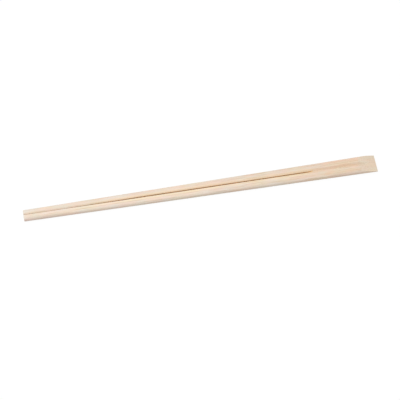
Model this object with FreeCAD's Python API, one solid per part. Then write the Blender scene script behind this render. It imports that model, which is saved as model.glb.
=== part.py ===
"""One undivided pair of disposable bamboo chopsticks, in millimetres.

The pair is a single piece of bamboo: a flat slat that gets narrower and thinner towards the tips. A level
V groove is planed down the middle of its top and its underside, and its long edges are rounded. A saw
parts the two sticks from the tips up to the head, where a web still joins them, and a slanting cut thins
the head from above.

The frame: X runs from the tips to the head, Y across the pair, Z up. The pair lies on its underside at
Z = 0, and the origin is under the middle of its length and width.
"""

import FreeCAD, Part
import math
import os

# Overall form of the slat
PAIR_LENGTH = 240.0
HEAD_WIDTH = 12.6
TIP_WIDTH = 8.0
HEAD_THICKNESS = 4.9
TIP_THICKNESS = 4.2

# Rounded outer edges of the slat
SIDE_RADIUS = 2.0

# V grooves planed down the middle of the top and of the underside. They are level, so the one in the
# sloping top is deepest at the head
HEAD_GROOVE_DEPTH = 1.3
UNDER_GROOVE_DEPTH = 1.1
GROOVE_ANGLE = 90.0
GROOVE_ROOT_RADIUS = 0.2
SHOULDER_RADIUS = 0.6

# Rounded-over end of each tip
TIP_ROUNDING = 0.45

# Saw cut that parts the sticks: it is widest at the head, and the sticks spring together at the tips
SAW_CUT_WIDTH = 0.8
TIP_GAP = 0.2
CLOSED_TIP_LENGTH = 28.0
SPRUNG_LENGTH = 50.0
UNCUT_HEAD_LENGTH = 44.0
BLADE_RADIUS = 60.0
BLADE_OVERCUT = 0.5

# Slanting cut over the top of the head
SLANT_LENGTH = 12.0
HEAD_EDGE_THICKNESS = 2.0

# How far a cutting tool reaches past the wood
TOOL_CLEARANCE = 2.0
# How far off an edge may be and still be the one looked for
EDGE_TOLERANCE = 0.01

TIP_X = -PAIR_LENGTH / 2
HEAD_X = PAIR_LENGTH / 2
TOP_SLOPE = (HEAD_THICKNESS - TIP_THICKNESS) / PAIR_LENGTH
TOP_ROOT_Z = HEAD_THICKNESS - HEAD_GROOVE_DEPTH

# The groove in section: how far its rounded root reaches to either side and up, before the straight flanks
HALF_GROOVE_ANGLE = math.radians(GROOVE_ANGLE / 2)
ROOT_HALF_WIDTH = GROOVE_ROOT_RADIUS * math.cos(HALF_GROOVE_ANGLE)
ROOT_RISE = GROOVE_ROOT_RADIUS * (1 - math.sin(HALF_GROOVE_ANGLE))


def top_at(x):
    """Height of the slat's top face over the surface that it lies on."""
    return TIP_THICKNESS + TOP_SLOPE * (x - TIP_X)


def prism(corners, direction):
    """A straight-sided solid on a closed run of corners."""
    return Part.Face(Part.makePolygon(corners + corners[:1])).extrude(direction)


def plain_slat():
    """The slat with flat faces and sharp edges, narrower and thinner towards the tips."""
    plan = [
        FreeCAD.Vector(TIP_X, -TIP_WIDTH / 2, 0),
        FreeCAD.Vector(HEAD_X, -HEAD_WIDTH / 2, 0),
        FreeCAD.Vector(HEAD_X, HEAD_WIDTH / 2, 0),
        FreeCAD.Vector(TIP_X, TIP_WIDTH / 2, 0),
    ]
    side = [
        FreeCAD.Vector(TIP_X, -HEAD_WIDTH, 0),
        FreeCAD.Vector(HEAD_X, -HEAD_WIDTH, 0),
        FreeCAD.Vector(HEAD_X, -HEAD_WIDTH, HEAD_THICKNESS),
        FreeCAD.Vector(TIP_X, -HEAD_WIDTH, TIP_THICKNESS),
    ]
    upright = prism(plan, FreeCAD.Vector(0, 0, HEAD_THICKNESS))
    return upright.common(prism(side, FreeCAD.Vector(0, 2 * HEAD_WIDTH, 0)))


def groove_half_width(depth):
    """Half the width of the V groove at a height over its root."""
    return ROOT_HALF_WIDTH + (depth - ROOT_RISE) * math.tan(HALF_GROOVE_ANGLE)


def groove_cutter(root_z, outwards):
    """The level path of the V tool. It comes from above, outwards 1, or from below, outwards -1."""
    reach = PAIR_LENGTH / 2 + TOOL_CLEARANCE
    mouth_half_width = groove_half_width(HEAD_THICKNESS)

    def at(y, height):
        return FreeCAD.Vector(-reach, y, root_z + outwards * height)

    near_mouth = at(-mouth_half_width, HEAD_THICKNESS)
    near_root = at(-ROOT_HALF_WIDTH, ROOT_RISE)
    far_root = at(ROOT_HALF_WIDTH, ROOT_RISE)
    far_mouth = at(mouth_half_width, HEAD_THICKNESS)
    outline = [
        Part.LineSegment(near_mouth, near_root).toShape(),
        Part.Arc(near_root, at(0, 0), far_root).toShape(),
        Part.LineSegment(far_root, far_mouth).toShape(),
        Part.LineSegment(far_mouth, near_mouth).toShape(),
    ]
    return Part.Face(Part.Wire(outline)).extrude(FreeCAD.Vector(2 * reach, 0, 0))


def lengthwise_edges(shape, head_y, head_z):
    """The edges that run from the tips to the head and end there at head_y, to either side, and head_z."""
    found = []
    for edge in shape.Edges:
        ends = sorted((vertex.Point for vertex in edge.Vertexes), key=lambda point: point.x)
        if ends[-1].x - ends[0].x < PAIR_LENGTH / 2:
            continue
        off_y = abs(abs(ends[-1].y) - head_y)
        off_z = abs(ends[-1].z - head_z)
        if max(off_y, off_z) < EDGE_TOLERANCE:
            found.append(edge)
    return found


def grooved_slat():
    """The slat with its two grooves, its rounded edges and its rounded-over tip end."""
    grooves = [groove_cutter(TOP_ROOT_Z, 1), groove_cutter(UNDER_GROOVE_DEPTH, -1)]
    slat = plain_slat().cut(grooves).Solids[0]
    for head_z, depth in ((0, UNDER_GROOVE_DEPTH), (HEAD_THICKNESS, HEAD_GROOVE_DEPTH)):
        slat = slat.makeFillet(SHOULDER_RADIUS, lengthwise_edges(slat, groove_half_width(depth), head_z))
        slat = slat.makeFillet(SIDE_RADIUS, lengthwise_edges(slat, HEAD_WIDTH / 2, head_z))
    tip_end = min(slat.Faces, key=lambda face: face.CenterOfMass.x)
    return slat.makeFillet(TIP_ROUNDING, tip_end.Edges)


def saw_cut():
    """The slot between the sticks. Its walls follow the sprung sticks, and the round blade ends it in an arc."""
    end_x = HEAD_X - UNCUT_HEAD_LENGTH
    blade_z = BLADE_RADIUS - BLADE_OVERCUT
    blade_x = end_x - math.sqrt(BLADE_RADIUS**2 - (blade_z - TOP_ROOT_Z) ** 2)
    top_z = HEAD_THICKNESS + TOOL_CLEARANCE
    plan = [
        (TIP_X - TOOL_CLEARANCE, TIP_GAP),
        (TIP_X + CLOSED_TIP_LENGTH, TIP_GAP),
        (TIP_X + CLOSED_TIP_LENGTH + SPRUNG_LENGTH, SAW_CUT_WIDTH),
        (HEAD_X, SAW_CUT_WIDTH),
    ]
    near_wall = [FreeCAD.Vector(x, -gap / 2, -TOOL_CLEARANCE) for x, gap in plan]
    far_wall = [FreeCAD.Vector(x, gap / 2, -TOOL_CLEARANCE) for x, gap in plan[::-1]]
    slot = prism(near_wall + far_wall, FreeCAD.Vector(0, 0, top_z + TOOL_CLEARANCE))
    # What the blade has passed over on its way from the tips to where it stops
    blade_foot = FreeCAD.Vector(blade_x, -SAW_CUT_WIDTH, blade_z)
    blade = Part.makeCylinder(BLADE_RADIUS, 2 * SAW_CUT_WIDTH, blade_foot, FreeCAD.Vector(0, 1, 0))
    passed = Part.makeBox(
        blade_x - TIP_X + TOOL_CLEARANCE,
        2 * SAW_CUT_WIDTH,
        top_z + BLADE_OVERCUT,
        FreeCAD.Vector(TIP_X - TOOL_CLEARANCE, -SAW_CUT_WIDTH, -BLADE_OVERCUT),
    )
    return slot.common(passed.fuse(blade))


def slanting_cut():
    """The wedge taken off the top of the head."""
    start_x = HEAD_X - SLANT_LENGTH
    fall = (top_at(start_x) - HEAD_EDGE_THICKNESS) / SLANT_LENGTH * TOOL_CLEARANCE
    corners = [
        FreeCAD.Vector(start_x - TOOL_CLEARANCE, -HEAD_WIDTH, top_at(start_x) + fall),
        FreeCAD.Vector(HEAD_X + TOOL_CLEARANCE, -HEAD_WIDTH, HEAD_EDGE_THICKNESS - fall),
        FreeCAD.Vector(HEAD_X + TOOL_CLEARANCE, -HEAD_WIDTH, HEAD_THICKNESS + TOOL_CLEARANCE),
        FreeCAD.Vector(start_x - TOOL_CLEARANCE, -HEAD_WIDTH, HEAD_THICKNESS + TOOL_CLEARANCE),
    ]
    return prism(corners, FreeCAD.Vector(0, 2 * HEAD_WIDTH, 0))


def chopstick_pair():
    """The finished pair, still joined at the head."""
    return grooved_slat().cut([slanting_cut(), saw_cut()]).Solids[0]


def main():
    os.makedirs("parts", exist_ok=True)
    pair = chopstick_pair()
    pair.exportStep("parts/chopstick_pair.step")
    box = pair.optimalBoundingBox()
    print(
        f"chopstick_pair: valid {pair.isValid()}, {len(pair.Faces)} faces, {pair.Volume:.0f} mm3, "
        f"{box.XLength:.2f} x {box.YLength:.2f} x {box.ZLength:.2f} mm"
    )


main()
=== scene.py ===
"""An undivided pair of disposable bamboo chopsticks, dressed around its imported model, in a white studio."""

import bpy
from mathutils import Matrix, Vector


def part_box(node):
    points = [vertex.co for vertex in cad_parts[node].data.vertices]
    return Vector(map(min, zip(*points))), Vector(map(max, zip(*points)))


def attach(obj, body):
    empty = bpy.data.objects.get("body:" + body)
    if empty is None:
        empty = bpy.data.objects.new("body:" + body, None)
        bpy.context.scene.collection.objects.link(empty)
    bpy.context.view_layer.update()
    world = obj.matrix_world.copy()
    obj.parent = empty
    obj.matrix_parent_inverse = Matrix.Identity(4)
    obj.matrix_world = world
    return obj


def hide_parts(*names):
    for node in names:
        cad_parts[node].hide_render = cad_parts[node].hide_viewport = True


bl_info = {
    "name": "Bamboo Chopstick Pair",
    "version": (1, 0, 0),
    "blender": (4, 5, 0),
    "location": "3D View > Sidebar > Chopsticks",
    "description": "Makes an undivided pair of bamboo chopsticks and the white studio that it lies in",
    "category": "Add Mesh",
}

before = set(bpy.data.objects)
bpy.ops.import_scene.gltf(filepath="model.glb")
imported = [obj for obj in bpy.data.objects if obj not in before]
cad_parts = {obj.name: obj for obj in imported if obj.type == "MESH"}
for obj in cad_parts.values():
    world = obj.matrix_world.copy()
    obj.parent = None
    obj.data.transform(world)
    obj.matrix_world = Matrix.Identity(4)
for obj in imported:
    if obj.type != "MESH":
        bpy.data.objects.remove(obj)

import math

import bpy
from bpy.props import FloatProperty, FloatVectorProperty, IntProperty, PointerProperty
from mathutils import Vector

MM = 0.001
PAIR_NODE = "chopstick_pair"
LOWEST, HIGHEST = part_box(PAIR_NODE)

WHITE = (1, 1, 1, 1)

# Nodes stand this far apart in their trees
NODE_SPACING = 180

# How finely the pair is meshed
POINTS_AROUND = 300
STATIONS = 230
FILLET_POINTS = 12
BLADE_CORNERS = 900
SLOT_STATIONS = 160
# Stations stand closer together towards the tips, whose ends are rounded, by this power
STATION_CROWDING = 1.5
# Edges that turn by more than this stay sharp
CRISP_ANGLE = math.radians(28)
# A face is one of the slat's two ends if its normal has at least this much of X
END_NORMAL = 0.9

# How far a cutting tool reaches past the wood
TOOL_CLEARANCE = 2 * MM
# Cutters start with this thickness, before their faces are put in place
CUTTER_THICKNESS = 1 * MM

# Length and width of the marks in the grain that no property sets
BUNDLE_BREAKS = (11 * MM, 1.1 * MM)
BROAD_STREAKS = (110 * MM, 1.4 * MM)
TINT_PATCHES = (12 * MM, 3.5 * MM)
# How far from its middle a bundle is full and where it ends, as shares of the spacing
BUNDLE_CORE = (0.17, 0.27)
# Between which random values a bundle comes and goes along its length, and a furrow goes from none to full depth
BREAK_LIMITS = (0.4, 0.62)
FURROW_LIMITS = (0.5, 0.8)
# Between which random values each mark goes from not showing to full
MARK_LIMITS = {
    "Fibre": (0.48, 0.66),
    "Streak": (0.45, 0.75),
    "Coolness": (0.43, 0.57),
    "Yellowness": (0.4, 0.6),
    "Dullness": (0.42, 0.58),
}

# How the plane, the saw and the blade that cuts across leave the bamboo: whether it carries the painted light and
# shade and the far band, how much it has of the colours of bared wood, how strongly the marks in its grain show,
# how rough it is and how far it is raised
PLANED_LOOK = {
    "striped": True, "sawn": 0.0, "sliced": 0.0,
    "streaks": 0.14, "fibres": 0.29, "bundles": 0.72, "roughness": 0.5, "bump": 0.7,
}
SAWN_LOOK = {
    "striped": False, "sawn": 0.62, "sliced": 0.0,
    "streaks": 0.1, "fibres": 0.2, "bundles": 0.4, "roughness": 0.75, "bump": 1.0,
}
SLICED_LOOK = {
    "striped": False, "sawn": 0.0, "sliced": 0.3,
    "streaks": 0.08, "fibres": 0.16, "bundles": 0.45, "roughness": 0.6, "bump": 0.7,
}
# How much rougher or smoother the fibres make the wood, and how far they stand out of it
ROUGHNESS_SPREAD = 0.08
FIBRE_DEPTH = 0.03 * MM

# The floor is a hair under the sticks, so that the two flats don't mix from below
FLOOR_REACH = 3.0
FLOOR_DROP = 0.02 * MM
FLOOR_GREY = (0.55, 0.55, 0.55, 1)
# The glow makes up for the share of grey, so that the open floor shows white
FLOOR_GLOW = 1.07
# The key is a soft square lamp over the tips
KEY_SIZE = 0.5
KEY_PLACE = (-0.5, 0.15, 0.75)


# Properties

def length_property(name, description, default):
    """A size in metres."""
    return FloatProperty(
        name=name, description=description, default=default, min=0, subtype="DISTANCE", unit="LENGTH", precision=5
    )


def colour_property(name, description, default):
    """A colour, as linear red, green and blue."""
    return FloatVectorProperty(
        name=name, description=description, default=default, size=3, min=0, max=1, subtype="COLOR"
    )


class PairSizes(bpy.types.PropertyGroup):
    """Sizes of the pair of chopsticks."""

    length: length_property("Length", "From the tips to the head", HIGHEST.x - LOWEST.x)
    head_width: length_property("Head width", "Across both sticks at the head", HIGHEST.y - LOWEST.y)
    tip_width: length_property("Tip width", "Across both sticks at the tips", 8.0 * MM)
    head_thickness: length_property("Head thickness", "Height at the head, before the slanting cut", 4.9 * MM)
    tip_thickness: length_property("Tip thickness", "Height at the tips", 4.2 * MM)
    side_radius: length_property("Side radius", "Rounding of the outer edges", 2.0 * MM)
    groove_depth: length_property("Groove depth", "Depth of the top's level V groove at the head", 1.3 * MM)
    under_groove_depth: length_property("Under groove depth", "Depth of the underside's V groove", 1.1 * MM)
    groove_root_radius: length_property("Groove root radius", "Rounding at the bottom of the groove", 0.2 * MM)
    shoulder_radius: length_property("Shoulder radius", "Rounding where the groove meets the face", 0.6 * MM)
    tip_rounding: length_property("Tip rounding", "Rounding of the tips' end edges", 0.45 * MM)
    saw_cut_width: length_property("Saw cut width", "Gap between the sticks towards the head", 0.8 * MM)
    tip_gap: length_property("Tip gap", "Gap between the sticks at the tips", 0.2 * MM)
    closed_tip_length: length_property("Closed tip length", "Length over which the tips touch", 28 * MM)
    sprung_length: length_property("Sprung length", "Length over which the gap opens", 50 * MM)
    uncut_head_length: length_property("Uncut head length", "From the end of the saw cut to the head", 44 * MM)
    blade_radius: length_property("Blade radius", "Radius of the saw blade that ends the cut", 60 * MM)
    blade_overcut: length_property("Blade overcut", "How far the blade reached under the sticks", 0.5 * MM)
    slant_length: length_property("Slant length", "Length of the slanting cut over the head", 12 * MM)
    head_edge_thickness: length_property("Head edge", "Thickness that the slanting cut leaves", 2.0 * MM)


class BambooFinish(bpy.types.PropertyGroup):
    """Colours and grain of the bamboo, with the colours of the painted light and shade on it."""

    tip_colour: colour_property("Tip colour", "Ground wood at the tips", (0.908, 0.810, 0.744))
    middle_colour: colour_property("Middle colour", "Ground wood along the saw cut", (0.934, 0.791, 0.698))
    head_colour: colour_property("Head colour", "Ground wood at the head", (0.938, 0.753, 0.632))
    far_tint: colour_property("Far stick's tint", "How the stick at +Y differs", (0.980, 0.968, 0.965))
    peach_tint: colour_property("Peach tint", "Where the wood is a little redder", (1.0, 0.942, 0.915))
    cool_tint: colour_property("Cool tint", "Where the wood is a little greener", (0.938, 0.988, 0.968))
    yellow_tint: colour_property("Yellow tint", "Where the wood is a little yellower", (1.0, 0.985, 0.890))
    dull_tint: colour_property("Dull tint", "Where the wood is a little darker", (0.957, 0.952, 0.946))
    bundle_colour: colour_property("Bundle colour", "The darker fibre bundles", (0.600, 0.400, 0.215))
    # Painted highlight: this paler colour along the groove's shoulder at -Y stands in for light that catches the
    # shoulder
    lip_highlight_colour: colour_property("Lip colour", "Paler wood along the shoulder at -Y", (1.000, 0.832, 0.575))
    # Painted highlight: this paler colour lightens the rounded edge at -Y, where its shading falls off
    edge_highlight_colour: colour_property("Edge colour", "Paler wood on the rounded edge at -Y", (1.000, 0.930, 0.850))
    # Painted light: this warmer, paler colour lifts the shade on the groove's flank at +Y
    flank_light_colour: colour_property("Flank colour", "Warmer wood on the groove's flank at +Y", (1.000, 0.786, 0.555))
    # Painted shade: this darker, greyer colour deepens the shade at the bottom of the groove
    root_shade_colour: colour_property("Root colour", "Duller wood at the groove's root", (0.620, 0.640, 0.540))
    # Painted shade on the side at -Y by the tips; the same colour also makes a darker, browner band along the far
    # edge at the head
    side_shade_and_far_band_colour: colour_property("Streak colour", "Browner wood at two of the edges", (0.840, 0.540, 0.460))
    sawn_colour: colour_property("Sawn colour", "Wood that the saw has bared", (0.980, 0.700, 0.330))
    sliced_colour: colour_property("Sliced colour", "Wood that is cut across its fibres", (0.790, 0.735, 0.570))
    bundle_spacing: length_property("Bundle spacing", "From one fibre bundle to the next", 0.62 * MM)
    grain_drift: length_property("Grain drift", "How far the grain wanders across the sticks", 0.9 * MM)
    drift_length: length_property("Drift length", "Length over which the grain wanders", 70 * MM)
    fibre_width: length_property("Fibre width", "Width of the single fibres", 0.11 * MM)
    fibre_length: length_property("Fibre length", "Length of the single fibres", 16 * MM)
    relief_width: length_property("Relief width", "Width of the furrows that the plane tore", 0.42 * MM)
    relief_length: length_property("Relief length", "Length of the furrows that the plane tore", 45 * MM)
    relief_depth: length_property("Relief depth", "Depth of the furrows that the plane tore", 0.03 * MM)
    seed: IntProperty(name="Seed", description="Picks the run of the grain", default=11, min=0)


class StudioLight(bpy.types.PropertyGroup):
    """Light on the white studio."""

    sky: FloatProperty(name="Sky", description="Light from all around", default=0.72, min=0)
    key: FloatProperty(name="Key lamp", description="Power of the soft lamp over the tips", default=3.1, min=0)
    shadow_share: FloatProperty(
        name="Shadow share", description="How much of its shading the floor shows to the camera", default=0.11,
        min=0, max=1, subtype="FACTOR"
    )


# Node trees

class Wiring:
    """Adds nodes to a tree from left to right and wires them up."""

    def __init__(self, tree):
        self.tree = tree

    def add(self, kind, inputs=(), **settings):
        """A new node. Each input is a constant or the output socket that feeds it."""
        node = self.tree.nodes.new(kind)
        node.location.x = NODE_SPACING * len(self.tree.nodes)
        for name, value in settings.items():
            setattr(node, name, value)
        for key, value in dict(inputs).items():
            if isinstance(value, bpy.types.NodeSocket):
                self.tree.links.new(value, node.inputs[key])
            else:
                node.inputs[key].default_value = value
        return node

    def math(self, operation, *values):
        """The result of a sum on numbers."""
        return self.add("ShaderNodeMath", enumerate(values), operation=operation).outputs[0]

    def plus(self, first, second):
        return self.math("ADD", first, second)

    def minus(self, first, second):
        return self.math("SUBTRACT", first, second)

    def times(self, first, second):
        return self.math("MULTIPLY", first, second)

    def over(self, first, second):
        return self.math("DIVIDE", first, second)

    def vector_math(self, operation, first, second):
        """The result of a sum on two vectors."""
        return self.add("ShaderNodeVectorMath", {0: first, 1: second}, operation=operation).outputs[0]

    def share(self, value, start, end, at_start=0.0, at_end=1.0, clamp=True):
        """A value that runs evenly from at_start to at_end while another runs from start to end."""
        inputs = {"Value": value, "From Min": start, "From Max": end, "To Min": at_start, "To Max": at_end}
        return self.add("ShaderNodeMapRange", inputs, clamp=clamp).outputs["Result"]

    def split(self, vector):
        """The X, Y and Z of a vector."""
        return self.add("ShaderNodeSeparateXYZ", {"Vector": vector}).outputs

    def join(self, x, y, z):
        """A vector from its X, Y and Z."""
        return self.add("ShaderNodeCombineXYZ", {"X": x, "Y": y, "Z": z}).outputs[0]

    def noise(self, vector, seed, detail=2.0, roughness=0.5, result="Fac"):
        """Smooth random values over space."""
        inputs = {"Vector": vector, "W": seed, "Scale": 1.0, "Detail": detail, "Roughness": roughness}
        return self.add("ShaderNodeTexNoise", inputs, noise_dimensions="4D").outputs[result]

    def mixed(self, factor, first, second, blend="MIX"):
        """A colour that goes from the first to the second with the factor."""
        inputs = {"Factor": factor, 6: first, 7: second}
        return self.add("ShaderNodeMix", inputs, data_type="RGBA", blend_type=blend).outputs[2]


def new_tree(name, kind, inputs, outputs):
    """A node tree with named inputs and outputs, each with its socket type."""
    tree = bpy.data.node_groups.new(name, kind)
    for label, socket_type in inputs:
        tree.interface.new_socket(name=label, in_out="INPUT", socket_type=socket_type)
    for label, socket_type in outputs:
        tree.interface.new_socket(name=label, in_out="OUTPUT", socket_type=socket_type)
    return tree


def empty_nodes(holder):
    """Wiring for the emptied node tree of a material or a world."""
    holder.use_nodes = True
    holder.node_tree.nodes.clear()
    return Wiring(holder.node_tree)


def opaque(colour):
    """A colour from the properties, with its alpha."""
    return (*colour, 1)


# The bamboo

GRAIN_INPUTS = [
    ("Bundle Spacing", "bundle_spacing"),
    ("Grain Drift", "grain_drift"),
    ("Drift Length", "drift_length"),
    ("Fibre Width", "fibre_width"),
    ("Fibre Length", "fibre_length"),
    ("Seed", "seed"),
]
GRAIN_MARKS = ("Bundle", "Fibre", "Streak", "Coolness", "Yellowness", "Dullness")


def grain_group():
    """Shader nodes for bamboo that grew along X, as masks that hold for any cut through the wood.

    Fibre bundles run side by side through the pale ground wood and wander together, so that a planed face
    shows them as long lines and a cut across shows them as dots."""
    inputs = [("Vector", "NodeSocketVector")]
    inputs += [(label, "NodeSocketFloat") for label, name in GRAIN_INPUTS]
    outputs = [(label, "NodeSocketFloat") for label in GRAIN_MARKS]
    tree = new_tree("Bamboo grain", "ShaderNodeTree", inputs, outputs)
    nodes = Wiring(tree)
    given = nodes.add("NodeGroupInput").outputs
    seed = given["Seed"]

    def stretched(vector, length, width):
        """Coordinates in units of a length along X and a width across it."""
        return nodes.vector_math("DIVIDE", vector, nodes.join(length, width, width))

    x = nodes.split(given["Vector"])["X"]
    wander = nodes.noise(nodes.join(nodes.over(x, given["Drift Length"]), 0.0, 0.0), seed, 1.0, result="Color")
    inputs = {0: nodes.vector_math("SUBTRACT", wander, (0.5, 0.5, 0.5)), "Scale": given["Grain Drift"]}
    wander = nodes.add("ShaderNodeVectorMath", inputs, operation="SCALE").outputs[0]
    place = nodes.vector_math("ADD", given["Vector"], wander)

    across = nodes.split(place)
    spacing = nodes.join(given["Bundle Spacing"], given["Bundle Spacing"], 1.0)
    section = nodes.vector_math("DIVIDE", nodes.join(across["Y"], across["Z"], 0.0), spacing)
    inputs = {"Vector": section, "Scale": 1.0, "Randomness": 0.85}
    cells = nodes.add("ShaderNodeTexVoronoi", inputs, voronoi_dimensions="2D")
    core = nodes.share(cells.outputs["Distance"], *BUNDLE_CORE, 1.0, 0.0)
    strength = nodes.share(nodes.noise(stretched(place, *BUNDLE_BREAKS), seed), *BREAK_LIMITS)
    patches = nodes.split(nodes.noise(stretched(given["Vector"], *TINT_PATCHES), seed, 4.0, 0.62, "Color"))
    marks = {
        "Bundle": nodes.times(core, strength),
        "Fibre": nodes.noise(stretched(place, given["Fibre Length"], given["Fibre Width"]), seed, 3.0, 0.6),
        "Streak": nodes.noise(stretched(place, *BROAD_STREAKS), seed, 2.0, 0.55),
        "Coolness": patches["X"],
        "Yellowness": patches["Y"],
        "Dullness": patches["Z"],
    }
    nodes.add("NodeGroupOutput", marks)
    return tree


def shown(nodes, marks, label, at_none=0.0, at_full=1.0):
    """A value that follows one of the grain's random marks."""
    return nodes.share(marks[label], *MARK_LIMITS[label], at_none, at_full)


def ground_wood(nodes, finish, marks, x, y, head_x, cut_end_x):
    """The pale wood between the fibre bundles: its colour along the sticks, with soft patches of tint."""
    by_tips = nodes.share(x, -head_x, -0.2 * head_x)
    wood = nodes.mixed(by_tips, opaque(finish.tip_colour), opaque(finish.middle_colour))
    uncut = nodes.share(x, cut_end_x - 20 * MM, cut_end_x + 15 * MM)
    wood = nodes.mixed(uncut, wood, opaque(finish.head_colour))
    tints = [
        nodes.mixed(shown(nodes, marks, "Coolness"), opaque(finish.peach_tint), opaque(finish.cool_tint)),
        nodes.mixed(shown(nodes, marks, "Yellowness"), WHITE, opaque(finish.yellow_tint)),
        nodes.mixed(shown(nodes, marks, "Dullness"), WHITE, opaque(finish.dull_tint)),
    ]
    for tint in tints:
        wood = nodes.mixed(1.0, wood, tint, "MULTIPLY")
    far_wood = nodes.mixed(1.0, wood, opaque(finish.far_tint), "MULTIPLY")
    return nodes.mixed(nodes.share(y, 0.0, 0.5 * MM), wood, far_wood)


def wood_with_painted_light_and_band(nodes, finish, sizes, marks, wood, x, y, head_x, cut_end_x):
    """The wood with painted highlights, painted light and painted shade in stripes along the planed faces, and a
    darker, browner band along the far edge at the head.
    """
    # Where along the sticks the stripes show
    along_cut = nodes.times(
        nodes.share(x, -0.75 * head_x, -0.45 * head_x),
        nodes.share(x, cut_end_x - 4 * MM, cut_end_x + 4 * MM, 1.0, 0.0),
    )
    in_patches = nodes.times(along_cut, nodes.share(marks["Yellowness"], 0.42, 0.58, 0.6, 1.0))
    past_cut = nodes.share(x, cut_end_x - 10 * MM, cut_end_x + 10 * MM)
    by_tips = nodes.share(x, -0.9 * head_x, -0.35 * head_x, 1.0, 0.0)
    off_tips = nodes.minus(1.0, by_tips)
    # How far a point is from the near side, because the sticks get narrower towards the tips
    half_width = nodes.share(x, -head_x, head_x, sizes.tip_width / 2, sizes.head_width / 2)
    from_side = nodes.plus(half_width, y)
    lip_y = -sizes.groove_depth - 0.25 * MM
    # Each stripe has its colour and strength, the distance that places it, where its middle is on that distance,
    # how far from there it is full and how far it reaches, and where along the sticks it shows
    stripes = [
        # Painted highlight along the groove's near shoulder, broken into patches along the saw cut
        (finish.lip_highlight_colour, 1.0, y, lip_y, 0.25 * MM, 0.75 * MM, in_patches),
        # Painted light on the groove's far flank, which lies in shade
        (finish.flank_light_colour, 0.6, y, 0.85 * MM, 0.45 * MM, 1.1 * MM, along_cut),
        # Painted shade at the groove's root, towards the head
        (finish.root_shade_colour, 0.18, y, 0.0, 0.2 * MM, 1.3 * MM, past_cut),
        # Painted highlight on the rounded edge at -Y, away from the tips
        (finish.edge_highlight_colour, 0.2, from_side, 0.65 * MM, 0.4 * MM, 0.75 * MM, off_tips),
        # A darker, browner band along the far edge at the head
        (finish.side_shade_and_far_band_colour, 0.2, y, 4.3 * MM, 0.7 * MM, 1.8 * MM, past_cut),
        # Painted shade on the side at -Y, by the tips, where it lies towards the floor
        (finish.side_shade_and_far_band_colour, 0.34, from_side, 0.0, 0.2 * MM, 0.6 * MM, by_tips),
    ]
    for colour, strength, distance, middle, core, reach, along in stripes:
        off_middle = nodes.math("ABSOLUTE", nodes.minus(distance, middle))
        stripe = nodes.times(nodes.share(off_middle, core, reach, strength, 0.0), along)
        wood = nodes.mixed(stripe, wood, opaque(colour))
    return wood


def bamboo_material(name, grain, finish, sizes, look):
    """A material of the same bamboo for one kind of surface. The look says how the tool left it."""
    material = bpy.data.materials.new(name)
    nodes = empty_nodes(material)
    place = nodes.add("ShaderNodeTexCoord").outputs["Object"]
    settings = {label: getattr(finish, setting) for label, setting in GRAIN_INPUTS}
    marks = nodes.add("ShaderNodeGroup", {"Vector": place, **settings}, node_tree=grain).outputs

    x, y = nodes.split(place)[:2]
    head_x = sizes.length / 2
    cut_end_x = head_x - sizes.uncut_head_length
    wood = ground_wood(nodes, finish, marks, x, y, head_x, cut_end_x)
    # Only the planed faces get the painted light and shade in stripes
    if look["striped"]:
        wood = wood_with_painted_light_and_band(nodes, finish, sizes, marks, wood, x, y, head_x, cut_end_x)
    if look["sawn"]:
        # The sticks close up towards the tips, where the saw's colour hardly shows
        sawn = nodes.share(x, -0.95 * head_x, -0.5 * head_x, 0.15 * look["sawn"], look["sawn"])
        wood = nodes.mixed(sawn, wood, opaque(finish.sawn_colour))
    if look["sliced"]:
        wood = nodes.mixed(look["sliced"], wood, opaque(finish.sliced_colour))
    darker = [
        shown(nodes, marks, "Streak", 0.0, look["streaks"]),
        shown(nodes, marks, "Fibre", 0.0, look["fibres"]),
        nodes.times(marks["Bundle"], look["bundles"]),
    ]
    for mark in darker:
        wood = nodes.mixed(mark, wood, opaque(finish.bundle_colour))

    height = nodes.minus(marks["Fibre"], nodes.times(marks["Bundle"], 0.5))
    bump = nodes.add("ShaderNodeBump", {"Strength": look["bump"], "Distance": FIBRE_DEPTH, "Height": height})
    smoother, rougher = look["roughness"] - ROUGHNESS_SPREAD, look["roughness"] + ROUGHNESS_SPREAD
    shader = nodes.add(
        "ShaderNodeBsdfPrincipled",
        {
            "Base Color": wood,
            "Roughness": nodes.share(marks["Fibre"], 0.3, 0.7, smoother, rougher),
            "Specular IOR Level": 0.35,
            "Normal": bump.outputs[0],
        },
    )
    nodes.add("ShaderNodeOutputMaterial", {"Surface": shader.outputs[0]})
    return material


def section_outline(sizes):
    """Corners of the slat's section at the head, each with its rounding, as (y, z, radius)."""
    side = sizes.head_width / 2
    top = sizes.head_thickness
    # The grooves are 90 degrees wide, so their flanks go in as far as they go down
    under_rounded_root = sizes.groove_root_radius * (math.sqrt(2) - 1)
    depth = sizes.groove_depth + under_rounded_root
    under_depth = sizes.under_groove_depth + under_rounded_root
    right = [
        (depth, top, sizes.shoulder_radius),
        (side, top, sizes.side_radius),
        (side, 0.0, sizes.side_radius),
        (under_depth, 0.0, sizes.shoulder_radius),
    ]
    root = (0.0, top - depth, sizes.groove_root_radius)
    under_root = (0.0, under_depth, sizes.groove_root_radius)
    left = [(-y, z, radius) for y, z, radius in reversed(right)]
    return [root, *right, under_root, *left]


def outline_object(sizes):
    """A loop of edges through the section's corners, which the geometry nodes round off and loft."""
    corners = section_outline(sizes)
    count = len(corners)
    mesh = bpy.data.meshes.new("section")
    edges = [(i, (i + 1) % count) for i in range(count)]
    mesh.from_pydata([(y, z, 0) for y, z, radius in corners], edges, [])
    rounding = mesh.attributes.new("rounding", "FLOAT", "POINT")
    rounding.data.foreach_set("value", [radius for y, z, radius in corners])
    outline = bpy.data.objects.new("section", mesh)
    bpy.context.collection.objects.link(outline)
    return outline


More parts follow.
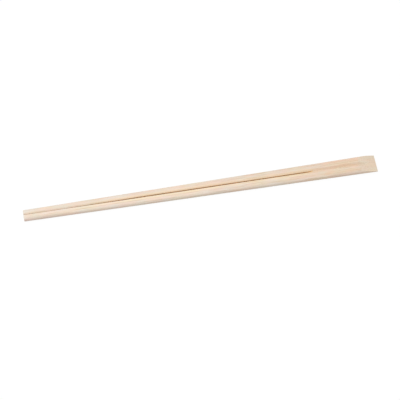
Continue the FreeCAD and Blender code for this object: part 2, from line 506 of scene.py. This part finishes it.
SLAT_INPUTS = [
    ("Length", "length"),
    ("Head Width", "head_width"),
    ("Tip Width", "tip_width"),
    ("Head Thickness", "head_thickness"),
    ("Tip Thickness", "tip_thickness"),
    ("Side Radius", "side_radius"),
    ("Groove Depth", "groove_depth"),
    ("Groove Root Radius", "groove_root_radius"),
    ("Shoulder Radius", "shoulder_radius"),
    ("Tip Rounding", "tip_rounding"),
    ("Saw Cut Width", "saw_cut_width"),
    ("Tip Gap", "tip_gap"),
    ("Closed Tip Length", "closed_tip_length"),
    ("Sprung Length", "sprung_length"),
    ("Uncut Head Length", "uncut_head_length"),
    ("Blade Radius", "blade_radius"),
    ("Blade Overcut", "blade_overcut"),
    ("Slant Length", "slant_length"),
    ("Head Edge Thickness", "head_edge_thickness"),
]
RELIEF_INPUTS = [
    ("Relief Width", "relief_width"),
    ("Relief Length", "relief_length"),
    ("Relief Depth", "relief_depth"),
]


def pair_tree():
    """Geometry nodes that loft the section into a slat, plane it, saw the sticks apart and slant the head."""
    inputs = [("Section", "NodeSocketGeometry")]
    inputs += [(label, "NodeSocketFloat") for label, name in SLAT_INPUTS + RELIEF_INPUTS]
    inputs += [(label, "NodeSocketInt") for label in ("Seed", "Stations", "Points Around")]
    inputs += [(label, "NodeSocketMaterial") for label in ("Planed Bamboo", "Sawn Bamboo", "Sliced Bamboo")]
    tree = new_tree("Chopstick pair", "GeometryNodeTree", inputs, [("Pair", "NodeSocketGeometry")])
    nodes = Wiring(tree)
    given = nodes.add("NodeGroupInput").outputs
    head_x = nodes.over(given["Length"], 2.0)
    tip_x = nodes.times(head_x, -1.0)
    slat = planed_slat(nodes, given, tip_x, head_x)
    cut = nodes.add("GeometryNodeMeshBoolean", operation="DIFFERENCE", solver="MANIFOLD")
    tree.links.new(slat, cut.inputs["Mesh 1"])
    for cutter in (*saw_cutters(nodes, given, tip_x, head_x), slanting_cutter(nodes, given, head_x)):
        tree.links.new(cutter, cut.inputs["Mesh 2"])
    smooth = nodes.add("GeometryNodeSetShadeSmooth", {"Geometry": cut.outputs["Mesh"]}, domain="FACE")
    angle = nodes.add("GeometryNodeInputMeshEdgeAngle").outputs["Unsigned Angle"]
    crisp = nodes.math("GREATER_THAN", angle, CRISP_ANGLE)
    inputs = {"Geometry": smooth.outputs[0], "Selection": crisp, "Shade Smooth": False}
    edged = nodes.add("GeometryNodeSetShadeSmooth", inputs, domain="EDGE")
    real = nodes.add("GeometryNodeRealizeInstances", {"Geometry": edged.outputs[0]})
    inputs = {"Geometry": real.outputs[0], "Material": given["Planed Bamboo"]}
    dressed = nodes.add("GeometryNodeSetMaterial", inputs).outputs[0]
    for mark, label in (("sawn", "Sawn Bamboo"), ("sliced", "Sliced Bamboo")):
        marked = attribute(nodes, mark, "BOOLEAN")
        inputs = {"Geometry": dressed, "Selection": marked, "Material": given[label]}
        dressed = nodes.add("GeometryNodeSetMaterial", inputs).outputs[0]
    nodes.add("NodeGroupOutput", {"Pair": dressed})
    return tree


def attribute(nodes, name, data_type):
    """The value of a named attribute."""
    node = nodes.add("GeometryNodeInputNamedAttribute", {"Name": name}, data_type=data_type)
    return node.outputs["Attribute"]


def stored(nodes, geometry, name, value, data_type, domain):
    """The geometry with a value kept on it as a named attribute."""
    inputs = {"Geometry": geometry, "Name": name, "Value": value}
    return nodes.add("GeometryNodeStoreNamedAttribute", inputs, data_type=data_type, domain=domain).outputs[0]


def marked_faces(nodes, geometry, mark, value=True):
    """Marks faces by the tool that made them. The faces that a cutter leaves in the bamboo keep its mark."""
    return stored(nodes, geometry, mark, value, "BOOLEAN", "FACE")


def moved_to(nodes, geometry, x, y, z):
    """The geometry with each of its points put at these coordinates."""
    return nodes.add("GeometryNodeSetPosition", {"Geometry": geometry, "Position": nodes.join(x, y, z)}).outputs[0]


def rounded_section(nodes, given):
    """Nodes that round off the section and keep on each of its points its place and its way outwards."""
    outline = nodes.add("GeometryNodeMeshToCurve", {"Mesh": given["Section"]})
    rounding = attribute(nodes, "rounding", "FLOAT")
    inputs = {"Curve": outline.outputs[0], "Count": FILLET_POINTS, "Radius": rounding}
    rounded = nodes.add("GeometryNodeFilletCurve", inputs, mode="POLY")
    inputs = {"Curve": rounded.outputs[0], "Count": given["Points Around"]}
    even = nodes.add("GeometryNodeResampleCurve", inputs).outputs[0]
    place = nodes.add("GeometryNodeInputPosition").outputs[0]
    even = stored(nodes, even, "in_section", place, "FLOAT_VECTOR", "POINT")
    tangent = nodes.split(nodes.add("GeometryNodeInputTangent").outputs[0])
    outwards = nodes.join(nodes.times(tangent["Y"], -1.0), tangent["X"], 0.0)
    return stored(nodes, even, "outwards", outwards, "FLOAT_VECTOR", "POINT")


def lofted_section(nodes, given, tip_x, head_x):
    """Nodes that carry the section of the head all the way to the tips."""
    spine = nodes.add("GeometryNodeCurvePrimitiveLine")
    stations = nodes.add("GeometryNodeResampleCurve", {"Curve": spine.outputs[0], "Count": given["Stations"]})
    factor = nodes.add("GeometryNodeSplineParameter").outputs["Factor"]
    x = nodes.share(nodes.math("POWER", factor, STATION_CROWDING), 0.0, 1.0, tip_x, head_x)
    spine = moved_to(nodes, stations.outputs[0], x, 0.0, 0.0)
    inputs = {"Curve": spine, "Profile Curve": rounded_section(nodes, given), "Fill Caps": True}
    return nodes.add("GeometryNodeCurveToMesh", inputs).outputs[0]


def tapered_place(nodes, given, tip_x, head_x):
    """Nodes for the coordinates of the loft's points once the slat gets narrower and thinner towards the tips."""
    x = nodes.split(nodes.add("GeometryNodeInputPosition").outputs[0])["X"]
    y, z = nodes.split(attribute(nodes, "in_section", "FLOAT_VECTOR"))[:2]
    # How far the point is along the flat from the groove's shoulder, 0, to the rounded side, 1
    side_start = nodes.minus(nodes.over(given["Head Width"], 2.0), given["Side Radius"])
    shoulder_end = nodes.plus(given["Groove Depth"], given["Shoulder Radius"])
    outer_share = nodes.share(nodes.math("ABSOLUTE", y), shoulder_end, side_start)
    inner_share = nodes.minus(1.0, outer_share)
    # How far up the groove's flank, and up the rounded side, the point is
    flank_foot = nodes.minus(given["Head Thickness"], given["Groove Depth"])
    flank_foot = nodes.plus(flank_foot, given["Groove Root Radius"])
    flank_top = nodes.times(given["Shoulder Radius"], 1 - math.sqrt(0.5))
    flank_top = nodes.minus(given["Head Thickness"], flank_top)
    flank_share = nodes.times(nodes.share(z, flank_foot, flank_top), inner_share)
    side_top = nodes.minus(given["Head Thickness"], given["Side Radius"])
    side_share = nodes.times(nodes.share(z, given["Side Radius"], side_top), outer_share)
    thinnest = nodes.minus(given["Head Thickness"], given["Tip Thickness"])
    thinning = nodes.share(x, tip_x, head_x, thinnest, 0.0)
    narrowest = nodes.over(nodes.minus(given["Head Width"], given["Tip Width"]), 2.0)
    narrowing = nodes.share(x, tip_x, head_x, narrowest, 0.0)
    # The top comes down along the groove's flank, which slopes by 45 degrees and stays where it is
    inwards = nodes.plus(nodes.times(thinning, flank_share), nodes.times(narrowing, outer_share))
    y = nodes.minus(y, nodes.times(nodes.math("SIGN", y), inwards))
    z = nodes.minus(z, nodes.times(thinning, nodes.plus(flank_share, side_share)))
    return x, y, z


def planed_slat(nodes, given, tip_x, head_x):
    """Nodes for the whole slat, with the furrows that the plane tore and with its tips rounded over."""
    loft = lofted_section(nodes, given, tip_x, head_x)
    x, y, z = tapered_place(nodes, given, tip_x, head_x)
    furrow_width = given["Relief Width"]
    furrows = nodes.join(
        nodes.over(x, given["Relief Length"]), nodes.over(y, furrow_width), nodes.over(z, furrow_width)
    )
    torn = nodes.share(nodes.noise(furrows, given["Seed"], 1.0), *FURROW_LIMITS)
    rounding = given["Tip Rounding"]
    into_rounding = nodes.math("MAXIMUM", nodes.minus(rounding, nodes.minus(x, tip_x)), 0.0)
    left = nodes.minus(nodes.times(rounding, rounding), nodes.times(into_rounding, into_rounding))
    inset = nodes.minus(rounding, nodes.math("SQRT", left))
    sunk = nodes.plus(nodes.times(torn, given["Relief Depth"]), inset)
    outwards = nodes.split(attribute(nodes, "outwards", "FLOAT_VECTOR"))
    y = nodes.minus(y, nodes.times(outwards["X"], sunk))
    z = nodes.minus(z, nodes.times(outwards["Y"], sunk))
    slat = moved_to(nodes, loft, x, y, z)
    facing = nodes.split(nodes.add("GeometryNodeInputNormal").outputs[0])["X"]
    is_end = nodes.math("GREATER_THAN", nodes.math("ABSOLUTE", facing), END_NORMAL)
    return marked_faces(nodes, slat, "sliced", is_end)


def saw_cutters(nodes, given, tip_x, head_x):
    """Nodes for the room that the saw takes: a long slot and the round blade that ends it."""
    radius = given["Blade Radius"]
    end_x = nodes.minus(head_x, given["Uncut Head Length"])
    root_z = nodes.minus(given["Head Thickness"], given["Groove Depth"])
    blade_z = nodes.minus(radius, given["Blade Overcut"])
    rise = nodes.minus(blade_z, root_z)
    reach = nodes.math("SQRT", nodes.minus(nodes.times(radius, radius), nodes.times(rise, rise)))
    blade_x = nodes.minus(end_x, reach)
    inputs = {"Vertices": BLADE_CORNERS, "Radius": radius, "Depth": CUTTER_THICKNESS}
    blade = nodes.add("GeometryNodeMeshCylinder", inputs).outputs["Mesh"]
    place = nodes.join(blade_x, 0.0, blade_z)
    inputs = {"Geometry": blade, "Translation": place, "Rotation": (math.pi / 2, 0.0, 0.0)}
    blade = nodes.add("GeometryNodeTransform", inputs).outputs[0]

    slot_start = nodes.minus(tip_x, TOOL_CLEARANCE)
    slot_length = nodes.minus(blade_x, slot_start)
    slot_height = nodes.plus(given["Head Thickness"], TOOL_CLEARANCE)
    slot_height = nodes.plus(slot_height, given["Blade Overcut"])
    size = nodes.join(slot_length, CUTTER_THICKNESS, slot_height)
    slot = nodes.add("GeometryNodeMeshCube", {"Size": size, "Vertices X": SLOT_STATIONS}).outputs["Mesh"]
    middle_x = nodes.over(nodes.plus(slot_start, blade_x), 2.0)
    middle_z = nodes.minus(nodes.over(slot_height, 2.0), given["Blade Overcut"])
    inputs = {"Geometry": slot, "Translation": nodes.join(middle_x, 0.0, middle_z)}
    slot = nodes.add("GeometryNodeTransform", inputs).outputs[0]

    x, y, z = nodes.split(nodes.add("GeometryNodeInputPosition").outputs[0])
    opening_x = nodes.plus(tip_x, given["Closed Tip Length"])
    open_x = nodes.plus(opening_x, given["Sprung Length"])
    gap = nodes.share(x, opening_x, open_x, given["Tip Gap"], given["Saw Cut Width"])
    wall_y = nodes.times(nodes.math("SIGN", y), nodes.over(gap, 2.0))
    return [marked_faces(nodes, moved_to(nodes, shape, x, wall_y, z), "sawn") for shape in (slot, blade)]


def slanting_cutter(nodes, given, head_x):
    """Nodes for the wedge that the slanting cut takes off the top of the head."""
    start_x = nodes.minus(head_x, given["Slant Length"])
    slant_share = nodes.over(given["Slant Length"], given["Length"])
    thinner = nodes.minus(given["Head Thickness"], given["Tip Thickness"])
    start_z = nodes.minus(given["Head Thickness"], nodes.times(thinner, slant_share))
    wedge_length = nodes.plus(given["Slant Length"], 2 * TOOL_CLEARANCE)
    wedge_width = nodes.times(given["Head Width"], 1.5)
    size = nodes.join(wedge_length, wedge_width, CUTTER_THICKNESS)
    wedge = nodes.add("GeometryNodeMeshCube", {"Size": size}).outputs["Mesh"]
    middle_x = nodes.plus(start_x, nodes.over(given["Slant Length"], 2.0))
    inputs = {"Geometry": wedge, "Translation": nodes.join(middle_x, 0.0, 0.0)}
    wedge = nodes.add("GeometryNodeTransform", inputs).outputs[0]
    x, y, z = nodes.split(nodes.add("GeometryNodeInputPosition").outputs[0])
    slant_z = nodes.share(x, start_x, head_x, start_z, given["Head Edge Thickness"], clamp=False)
    over_z = nodes.plus(given["Head Thickness"], TOOL_CLEARANCE)
    is_over = nodes.math("GREATER_THAN", z, 0.0)
    lift = nodes.times(is_over, nodes.minus(over_z, slant_z))
    wedge = moved_to(nodes, wedge, x, y, nodes.plus(slant_z, lift))
    return marked_faces(nodes, wedge, "sliced")


def apply_nodes(piece, tree, values):
    """Turns the piece into the plain mesh that its geometry nodes make from these named values."""
    modifier = piece.modifiers.new(tree.name, "NODES")
    modifier.node_group = tree
    for socket in tree.interface.items_tree:
        if socket.in_out == "INPUT" and socket.name in values:
            modifier[socket.identifier] = values[socket.name]
    graph = bpy.context.evaluated_depsgraph_get()
    made = bpy.data.meshes.new_from_object(piece.evaluated_get(graph))
    piece.modifiers.remove(modifier)
    piece.data = made
    return piece


class CHOPSTICKS_OT_make_pair(bpy.types.Operator):
    """Make the pair of chopsticks, still joined at the head"""

    bl_idname = "chopsticks.make_pair"
    bl_label = "Chopstick Pair"

    def execute(self, context):
        sizes = context.scene.chopstick_sizes
        finish = context.scene.chopstick_finish
        grain = grain_group()
        planed = bamboo_material("planed bamboo", grain, finish, sizes, PLANED_LOOK)
        sawn = bamboo_material("sawn bamboo", grain, finish, sizes, SAWN_LOOK)
        sliced = bamboo_material("sliced bamboo", grain, finish, sizes, SLICED_LOOK)
        pair = outline_object(sizes)
        values = {label: getattr(sizes, name) for label, name in SLAT_INPUTS}
        values.update({label: getattr(finish, name) for label, name in RELIEF_INPUTS})
        values.update({"Seed": finish.seed, "Stations": STATIONS, "Points Around": POINTS_AROUND})
        values.update({"Planed Bamboo": planed, "Sawn Bamboo": sawn, "Sliced Bamboo": sliced})
        apply_nodes(pair, pair_tree(), values)
        pair.name = "bamboo_pair"
        pair.data.name = "bamboo_pair"
        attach(pair, "root")
        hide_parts(PAIR_NODE)
        return {"FINISHED"}


# The studio

def white_to_camera(nodes, seen, lighting):
    """A shader that the camera and reflections see as one thing, and that lights the scene as another."""
    path = nodes.add("ShaderNodeLightPath").outputs
    seen_ray = nodes.math("MAXIMUM", path["Is Camera Ray"], path["Is Glossy Ray"])
    seen_ray = nodes.math("MAXIMUM", seen_ray, path["Is Transmission Ray"])
    return nodes.add("ShaderNodeMixShader", {0: seen_ray, 1: lighting, 2: seen}).outputs[0]


def light_sky(light):
    """White all around, as bright as the sky light where it falls on things."""
    world = bpy.data.worlds.new("white studio")
    nodes = empty_nodes(world)
    white = nodes.add("ShaderNodeBackground", {"Color": WHITE, "Strength": 1.0})
    sky = nodes.add("ShaderNodeBackground", {"Color": WHITE, "Strength": light.sky})
    surface = white_to_camera(nodes, white.outputs[0], sky.outputs[0])
    nodes.add("ShaderNodeOutputWorld", {"Surface": surface})
    bpy.context.scene.world = world


def lay_floor(light):
    """A white floor that keeps a faint part of the sticks' shadow."""
    reach, z = FLOOR_REACH, -FLOOR_DROP
    mesh = bpy.data.meshes.new("floor")
    corners = [(-reach, -reach, z), (reach, -reach, z), (reach, reach, z), (-reach, reach, z)]
    mesh.from_pydata(corners, [], [(0, 1, 2, 3)])
    floor = bpy.data.objects.new("floor", mesh)
    bpy.context.collection.objects.link(floor)
    material = bpy.data.materials.new("white floor")
    nodes = empty_nodes(material)
    paper = nodes.add("ShaderNodeBsdfDiffuse", {"Color": FLOOR_GREY})
    glow = nodes.add("ShaderNodeEmission", {"Color": WHITE, "Strength": FLOOR_GLOW})
    # The floor that shows through the saw cut is as dark as the sticks leave it
    x, y = nodes.split(nodes.add("ShaderNodeTexCoord").outputs["Object"])[:2]
    in_length = nodes.share(nodes.math("ABSOLUTE", x), HIGHEST.x - 1.0 * MM, HIGHEST.x - 0.5 * MM, 1.0, 0.0)
    in_cut = nodes.share(nodes.math("ABSOLUTE", y), 1.5 * MM, 2.0 * MM, in_length, 0.0)
    shading = nodes.share(in_cut, 0.0, 1.0, light.shadow_share, 1.0)
    shown_floor = nodes.add("ShaderNodeMixShader", {0: shading, 1: glow.outputs[0], 2: paper.outputs[0]})
    surface = white_to_camera(nodes, shown_floor.outputs[0], paper.outputs[0])
    nodes.add("ShaderNodeOutputMaterial", {"Surface": surface})
    mesh.materials.append(material)


def hang_lamp(name, power, size, place):
    """A square soft lamp that faces the middle of the sticks."""
    lamp = bpy.data.lights.new(name, "AREA")
    lamp.energy = power
    lamp.size = size
    holder = bpy.data.objects.new(name, lamp)
    holder.location = place
    holder.rotation_euler = (-Vector(place)).to_track_quat("-Z", "Y").to_euler()
    bpy.context.collection.objects.link(holder)


def set_camera():
    """A long lens that looks down on the pair, with the tips nearer than the head."""
    elevation = math.radians(60)
    azimuth = math.radians(-9.85)
    distance = 1.0
    pixels_per_metre = 1490.0
    frame_width = 400.0
    # The middle of the pair lies this far right of and above the middle of the picture, in pixels
    off_right, off_up = 1.5, 10.95
    level = math.cos(elevation)
    out = Vector((math.sin(azimuth) * level, -math.cos(azimuth) * level, math.sin(elevation)))
    right = Vector((math.cos(azimuth), math.sin(azimuth), 0))
    up = out.cross(right)
    middle = Vector((0, 0, HIGHEST.z / 2))
    aim = middle - right * off_right / pixels_per_metre - up * off_up / pixels_per_metre
    data = bpy.data.cameras.new("camera")
    data.lens = pixels_per_metre * distance / frame_width * data.sensor_width
    camera = bpy.data.objects.new("camera", data)
    camera.location = aim + out * distance
    camera.rotation_euler = out.to_track_quat("Z", "Y").to_euler()
    bpy.context.collection.objects.link(camera)
    bpy.context.scene.camera = camera


class CHOPSTICKS_OT_set_studio(bpy.types.Operator):
    """Set up the white floor, the light and the camera"""

    bl_idname = "chopsticks.set_studio"
    bl_label = "White Studio"

    def execute(self, context):
        light = context.scene.chopstick_light
        context.scene.view_settings.view_transform = "Standard"
        light_sky(light)
        lay_floor(light)
        hang_lamp("key", light.key, KEY_SIZE, KEY_PLACE)
        set_camera()
        return {"FINISHED"}


class CHOPSTICKS_PT_build(bpy.types.Panel):
    """Panel with the pieces and their sizes"""

    bl_label = "Bamboo Chopsticks"
    bl_idname = "CHOPSTICKS_PT_build"
    bl_space_type = "VIEW_3D"
    bl_region_type = "UI"
    bl_category = "Chopsticks"

    def draw(self, context):
        for operator in OPERATORS:
            self.layout.operator(operator.bl_idname)
        scene = context.scene
        for settings in (scene.chopstick_sizes, scene.chopstick_finish, scene.chopstick_light):
            box = self.layout.box()
            for name in settings.__annotations__:
                box.prop(settings, name)


OPERATORS = (CHOPSTICKS_OT_make_pair, CHOPSTICKS_OT_set_studio)
CLASSES = (PairSizes, BambooFinish, StudioLight, *OPERATORS, CHOPSTICKS_PT_build)


def register():
    for cls in CLASSES:
        bpy.utils.register_class(cls)
    bpy.types.Scene.chopstick_sizes = PointerProperty(type=PairSizes)
    bpy.types.Scene.chopstick_finish = PointerProperty(type=BambooFinish)
    bpy.types.Scene.chopstick_light = PointerProperty(type=StudioLight)


def unregister():
    del bpy.types.Scene.chopstick_light
    del bpy.types.Scene.chopstick_finish
    del bpy.types.Scene.chopstick_sizes
    for cls in reversed(CLASSES):
        bpy.utils.unregister_class(cls)


def main():
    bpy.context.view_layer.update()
    register()
    bpy.ops.chopsticks.make_pair()
    bpy.ops.chopsticks.set_studio()


if __name__ == "__main__":
    main()
